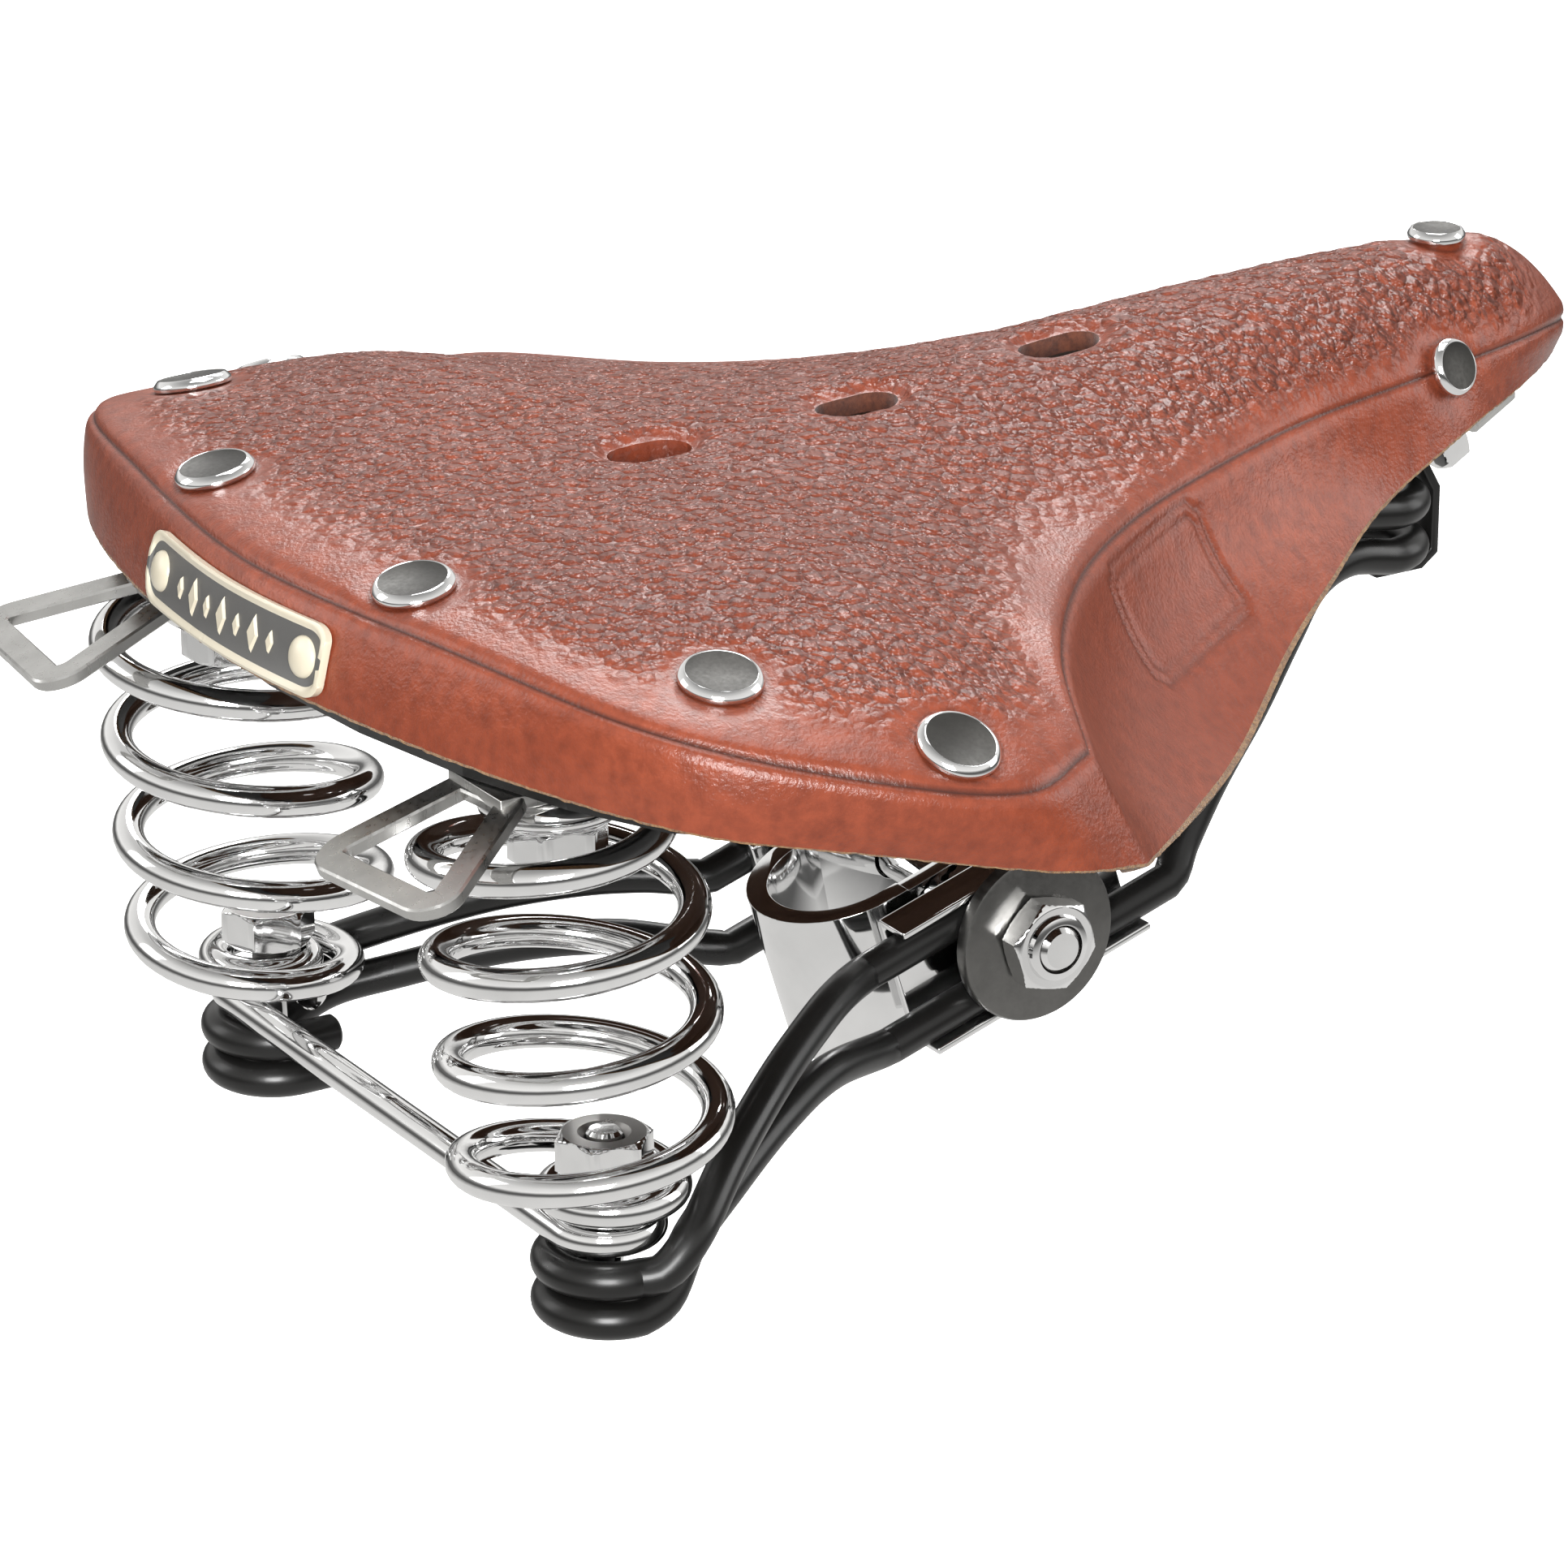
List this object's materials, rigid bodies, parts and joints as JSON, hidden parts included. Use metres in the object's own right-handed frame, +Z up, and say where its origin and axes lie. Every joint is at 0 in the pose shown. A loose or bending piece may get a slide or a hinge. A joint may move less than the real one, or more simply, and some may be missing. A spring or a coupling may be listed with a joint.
{
  "type": "bicycle saddle",
  "caption": "Sprung leather bicycle saddle with riveted top, coil springs, double-wire frame, bag loops and a seat-post clamp.",
  "frame": {"origin": "centre of the seat-post clamp's bore", "axes": "+X to the rider's right, +Y towards the nose, +Z up with the saddle level"},
  "size_m": [0.2112, 0.2455, 0.1205],
  "materials": {
    "leather": "honey-brown vegetable-tanned leather, pebbled grain on top, smooth sides",
    "black_enamel": "semi-gloss black stove enamel",
    "chrome": "bright nickel-chrome plate",
    "plain_steel": "plain zinc-grey steel",
    "rivet_steel": "turned steel head with a bright bevel",
    "badge_plate": "dark enamel field in a pale raised border",
    "badge_rivet": "pale domed rivet"
  },
  "bodies": {
    "post_clamp": {"clamp_band": "chrome"},
    "cradle": {"clamp_bolt": "chrome", "inner_cradle_left": "chrome", "inner_cradle_right": "chrome", "serrated_washer_left": "chrome", "serrated_washer_right": "chrome", "outer_washer_left": "plain_steel", "outer_washer_right": "plain_steel", "clamp_nut_left": "chrome", "clamp_nut_right": "chrome"},
    "frame": {"upper_wire": "black_enamel", "lower_wire": "black_enamel", "cross_bar": "chrome", "spring_bolt_bottom_left": "chrome", "spring_bolt_bottom_right": "chrome", "spring_nut_bottom_left": "chrome", "spring_nut_bottom_right": "chrome", "spring_left": "chrome", "spring_right": "chrome"},
    "top": {"leather_top": "leather", "cantle_plate": "black_enamel", "rear_rivet_1_left": "rivet_steel", "rear_rivet_1_right": "rivet_steel", "rear_rivet_2_left": "rivet_steel", "rear_rivet_2_right": "rivet_steel", "rear_rivet_3_left": "rivet_steel", "rear_rivet_3_right": "rivet_steel", "badge_plate": "badge_plate", "badge_rivet_left": "badge_rivet", "badge_rivet_right": "badge_rivet", "bag_loop_left": "plain_steel", "bag_loop_right": "plain_steel", "spring_bolt_top_left": "chrome", "spring_bolt_top_right": "chrome", "spring_nut_top_left": "chrome", "spring_nut_top_right": "chrome", "shackle": "plain_steel"},
    "nose": {"nose_piece": "plain_steel", "nose_rivet_left": "rivet_steel", "nose_rivet_right": "rivet_steel", "nose_rivet_top": "rivet_steel", "tension_pin": "chrome"},
    "adjuster": {"tension_nut": "chrome"}
  },
  "joints": [
    {"name": "tilt", "type": "hinge", "parent": "post_clamp", "child": "cradle", "pos_m": [0, 0.0135, 0.00704], "axis": [1, 0, 0], "range_deg": [-15, 15]},
    {"name": "fore_aft", "type": "slide", "parent": "cradle", "child": "frame", "axis": [0, 0.9527, 0.304], "range_m": [-0.006, 0.006]},
    {"name": "suspension", "type": "hinge", "parent": "frame", "child": "top", "pos_m": [0, 0.097, 0.05], "axis": [1, 0, 0], "range_deg": [0, 6], "stiffness_Nm_per_rad": 1000, "deforming": ["spring_left", "spring_right"]},
    {"name": "tension_turn", "type": "hinge", "parent": "top", "child": "adjuster", "pos_m": [0, 0.10508, 0.0624], "axis": [0, 0.866, 0.5], "range_deg": [0, 1080]},
    {"name": "tension", "type": "slide", "parent": "top", "child": "nose", "axis": [0, 0.866, 0.5], "range_m": [0, 0.003], "deforming": ["leather_top"]}
  ],
  "couplings": [
    {"joint": "tension_turn", "follows": "tension", "rad_per_m": 6283.2}
  ]
}
